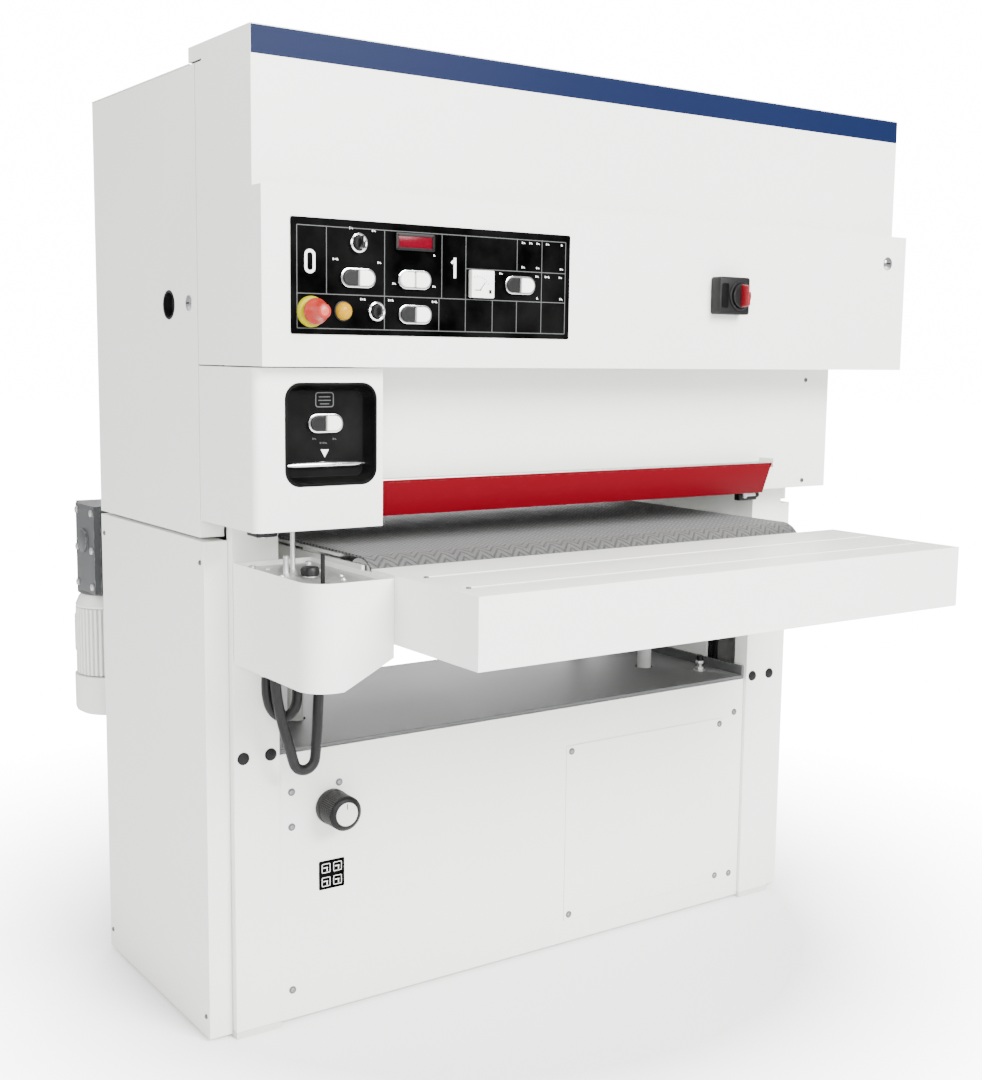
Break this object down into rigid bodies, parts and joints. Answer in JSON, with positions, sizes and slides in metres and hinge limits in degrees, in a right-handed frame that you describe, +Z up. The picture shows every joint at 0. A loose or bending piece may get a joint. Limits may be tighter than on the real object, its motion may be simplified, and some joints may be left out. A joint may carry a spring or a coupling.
{
  "type": "wide belt sander",
  "caption": "Free-standing wide-belt sanding machine: hooded sanding head over a rising conveyor table, hinged side and cabinet doors, push-button panel, red safety bar and feed motor.",
  "frame": {"origin": "on the floor, at the middle of the four floor anchor holes", "axes": "+Z up, +X to the operator's right, +Y the way the board is fed, so the operator stands at -Y"},
  "size_m": [1.448, 1.223, 1.66],
  "materials": {
    "white_paint": "satin powder coat, light orange peel",
    "frame_paint": "satin machine enamel",
    "dark_paint": "satin machine enamel",
    "motor_casting": "painted casting",
    "zinc_steel": "zinc plated",
    "ground_steel": "ground",
    "black_rubber": "matte",
    "belt_rubber": "matte, fine ribs",
    "abrasive_cloth": "grit",
    "red_paint": "gloss",
    "red_plastic": "gloss",
    "black_plastic": "satin",
    "white_plastic": "satin"
  },
  "bodies": {
    "base": {"base_frame": "frame_paint", "left_column": "white_paint", "right_column": "white_paint", "shelf": "dark_paint", "lower_front_panel": "white_paint", "access_cover": "white_paint", "rear_covers": "white_paint", "left_lower_cover": "white_paint", "right_lower_cover": "white_paint", "right_upper_cover": "white_paint", "screws_and_caps": "black_plastic", "hood_shell": "white_paint", "electrical_plate": "zinc_steel", "upper_front_panel": "white_paint", "upper_left_cover": "white_paint", "pocket_bezel": "black_plastic", "head_beam": "frame_paint", "abrasive_belt": "abrasive_cloth", "safety_switch": "black_plastic", "main_motor": "motor_casting", "drive_belts": "black_rubber"},
    "side_door": {"left_upper_door": "white_paint"},
    "side_door_lock": {"left_door_lock": "black_plastic"},
    "front_door": {"cabinet_door": "white_paint", "control_panel": "black_plastic", "panel_instruments": "black_plastic"},
    "front_door_lock": {"cabinet_door_lock": "black_plastic"},
    "table": {"table_frame": "frame_paint", "feed_belt": "belt_rubber", "infeed_extension": "white_paint", "table_corner_cover": "white_paint", "gauge_plate": "zinc_steel", "feed_gearbox": "dark_paint", "feed_motor": "motor_casting", "small_hose": "black_rubber", "large_hose": "black_rubber"},
    "drive_roller": {"drive_roller": "black_rubber"},
    "front_roller": {"front_roller": "ground_steel"},
    "contact_drum": {"contact_drum": "black_rubber"},
    "tension_frame": {"tension_frame": "frame_paint"},
    "tension_roller": {"tension_roller": "ground_steel"},
    "motor_pulley": {"motor_pulley": "ground_steel"},
    "infeed_roller": {"infeed_roller": "black_rubber"},
    "outfeed_roller": {"outfeed_roller": "black_rubber"},
    "safety_bar": {"safety_bar": "red_paint"},
    "emergency_stop": {"emergency_stop": "red_plastic"},
    "mains_knob": {"mains_knob": "black_plastic"},
    "feed_speed_knob": {"feed_speed_knob": "black_plastic"},
    "mode_selector": {"mode_selector": "black_plastic"},
    "key_selector": {"key_selector": "black_plastic"},
    "drum_stop_button": {"drum_stop_button": "black_plastic"},
    "drum_start_button": {"drum_start_button": "white_plastic"},
    "table_raise_button": {"table_raise_button": "white_plastic"},
    "table_lower_button": {"table_lower_button": "white_plastic"},
    "extraction_stop_button": {"extraction_stop_button": "black_plastic"},
    "extraction_start_button": {"extraction_start_button": "white_plastic"},
    "feed_stop_button": {"feed_stop_button": "black_plastic"},
    "feed_start_button": {"feed_start_button": "white_plastic"},
    "pocket_raise_button": {"pocket_raise_button": "white_plastic"},
    "pocket_lower_button": {"pocket_lower_button": "white_plastic"}
  },
  "joints": [
    {"name": "table_lift", "type": "slide", "parent": "base", "child": "table", "axis": [0, 0, 1], "range_m": [-0.12, 0.046]},
    {"name": "drive_roller_spin", "type": "hinge", "parent": "table", "child": "drive_roller", "pos_m": [0, 0.355, 0.806], "axis": [1, 0, 0], "continuous": true},
    {"name": "front_roller_spin", "type": "hinge", "parent": "table", "child": "front_roller", "pos_m": [0, -0.406, 0.806], "axis": [1, 0, 0], "continuous": true},
    {"name": "drum_spin", "type": "hinge", "parent": "base", "child": "contact_drum", "pos_m": [0, -0.02, 0.985], "axis": [1, 0, 0], "continuous": true},
    {"name": "tension_lift", "type": "slide", "parent": "base", "child": "tension_frame", "axis": [0, 0, 1], "range_m": [-0.02, 0], "stiffness_N_per_m": 30000, "springref_m": 0.06},
    {"name": "tension_roller_spin", "type": "hinge", "parent": "tension_frame", "child": "tension_roller", "pos_m": [0, -0.02, 1.531], "axis": [1, 0, 0], "continuous": true},
    {"name": "motor_spin", "type": "hinge", "parent": "base", "child": "motor_pulley", "pos_m": [0, 0, 0.184], "axis": [1, 0, 0], "continuous": true},
    {"name": "infeed_roller_spin", "type": "hinge", "parent": "base", "child": "infeed_roller", "pos_m": [0, -0.17, 0.938], "axis": [1, 0, 0], "continuous": true},
    {"name": "outfeed_roller_spin", "type": "hinge", "parent": "base", "child": "outfeed_roller", "pos_m": [0, 0.13, 0.938], "axis": [1, 0, 0], "continuous": true},
    {"name": "safety_bar_swing", "type": "hinge", "parent": "base", "child": "safety_bar", "pos_m": [0, -0.36, 0.971], "axis": [1, 0, 0], "range_deg": [0, 8]},
    {"name": "side_door_swing", "type": "hinge", "parent": "base", "child": "side_door", "pos_m": [-0.685, 0.248, 1.2], "axis": [0, 0, -1], "range_deg": [0, 100]},
    {"name": "side_lock_turn", "type": "hinge", "parent": "side_door", "child": "side_door_lock", "pos_m": [-0.685, -0.191, 1.259], "axis": [1, 0, 0], "range_deg": [0, 90]},
    {"name": "front_door_swing", "type": "hinge", "parent": "base", "child": "front_door", "pos_m": [-0.685, -0.4293, 1.3], "axis": [0, 0, -1], "range_deg": [0, 110]},
    {"name": "front_lock_turn", "type": "hinge", "parent": "front_door", "child": "front_door_lock", "pos_m": [0.7, -0.46, 1.373], "axis": [0, 1, 0], "range_deg": [0, 90]},
    {"name": "emergency_stop_press", "type": "slide", "parent": "front_door", "child": "emergency_stop", "axis": [0, 1, 0], "range_m": [0, 0.006]},
    {"name": "mains_turn", "type": "hinge", "parent": "front_door", "child": "mains_knob", "pos_m": [0.268, -0.48, 1.294], "axis": [0, 1, 0], "range_deg": [0, 90]},
    {"name": "mode_turn", "type": "hinge", "parent": "front_door", "child": "mode_selector", "pos_m": [-0.524, -0.46, 1.349], "axis": [0, 1, 0], "range_deg": [-45, 45]},
    {"name": "key_turn", "type": "hinge", "parent": "front_door", "child": "key_selector", "pos_m": [-0.492, -0.46, 1.246], "axis": [0, 1, 0], "range_deg": [0, 90]},
    {"name": "feed_speed_turn", "type": "hinge", "parent": "base", "child": "feed_speed_knob", "pos_m": [-0.453, -0.26, 0.384], "axis": [0, 1, 0], "range_deg": [-135, 135]},
    {"name": "drum_stop_button_press", "type": "slide", "parent": "front_door", "child": "drum_stop_button", "axis": [0, 1, 0], "range_m": [0, 0.003], "stiffness_N_per_m": 800},
    {"name": "drum_start_button_press", "type": "slide", "parent": "front_door", "child": "drum_start_button", "axis": [0, 1, 0], "range_m": [0, 0.003], "stiffness_N_per_m": 800},
    {"name": "table_raise_button_press", "type": "slide", "parent": "front_door", "child": "table_raise_button", "axis": [0, 1, 0], "range_m": [0, 0.003], "stiffness_N_per_m": 800},
    {"name": "table_lower_button_press", "type": "slide", "parent": "front_door", "child": "table_lower_button", "axis": [0, 1, 0], "range_m": [0, 0.003], "stiffness_N_per_m": 800},
    {"name": "extraction_stop_button_press", "type": "slide", "parent": "front_door", "child": "extraction_stop_button", "axis": [0, 1, 0], "range_m": [0, 0.003], "stiffness_N_per_m": 800},
    {"name": "extraction_start_button_press", "type": "slide", "parent": "front_door", "child": "extraction_start_button", "axis": [0, 1, 0], "range_m": [0, 0.003], "stiffness_N_per_m": 800},
    {"name": "feed_stop_button_press", "type": "slide", "parent": "front_door", "child": "feed_stop_button", "axis": [0, 1, 0], "range_m": [0, 0.003], "stiffness_N_per_m": 800},
    {"name": "feed_start_button_press", "type": "slide", "parent": "front_door", "child": "feed_start_button", "axis": [0, 1, 0], "range_m": [0, 0.003], "stiffness_N_per_m": 800},
    {"name": "pocket_raise_button_press", "type": "slide", "parent": "base", "child": "pocket_raise_button", "axis": [0, 1, 0], "range_m": [0, 0.003], "stiffness_N_per_m": 800},
    {"name": "pocket_lower_button_press", "type": "slide", "parent": "base", "child": "pocket_lower_button", "axis": [0, 1, 0], "range_m": [0, 0.003], "stiffness_N_per_m": 800}
  ],
  "couplings": [
    {"joint": "front_roller_spin", "follows": "drive_roller_spin", "ratio": 1},
    {"joint": "tension_roller_spin", "follows": "drum_spin", "ratio": 1.5906},
    {"joint": "motor_spin", "follows": "drum_spin", "ratio": 0.8}
  ]
}
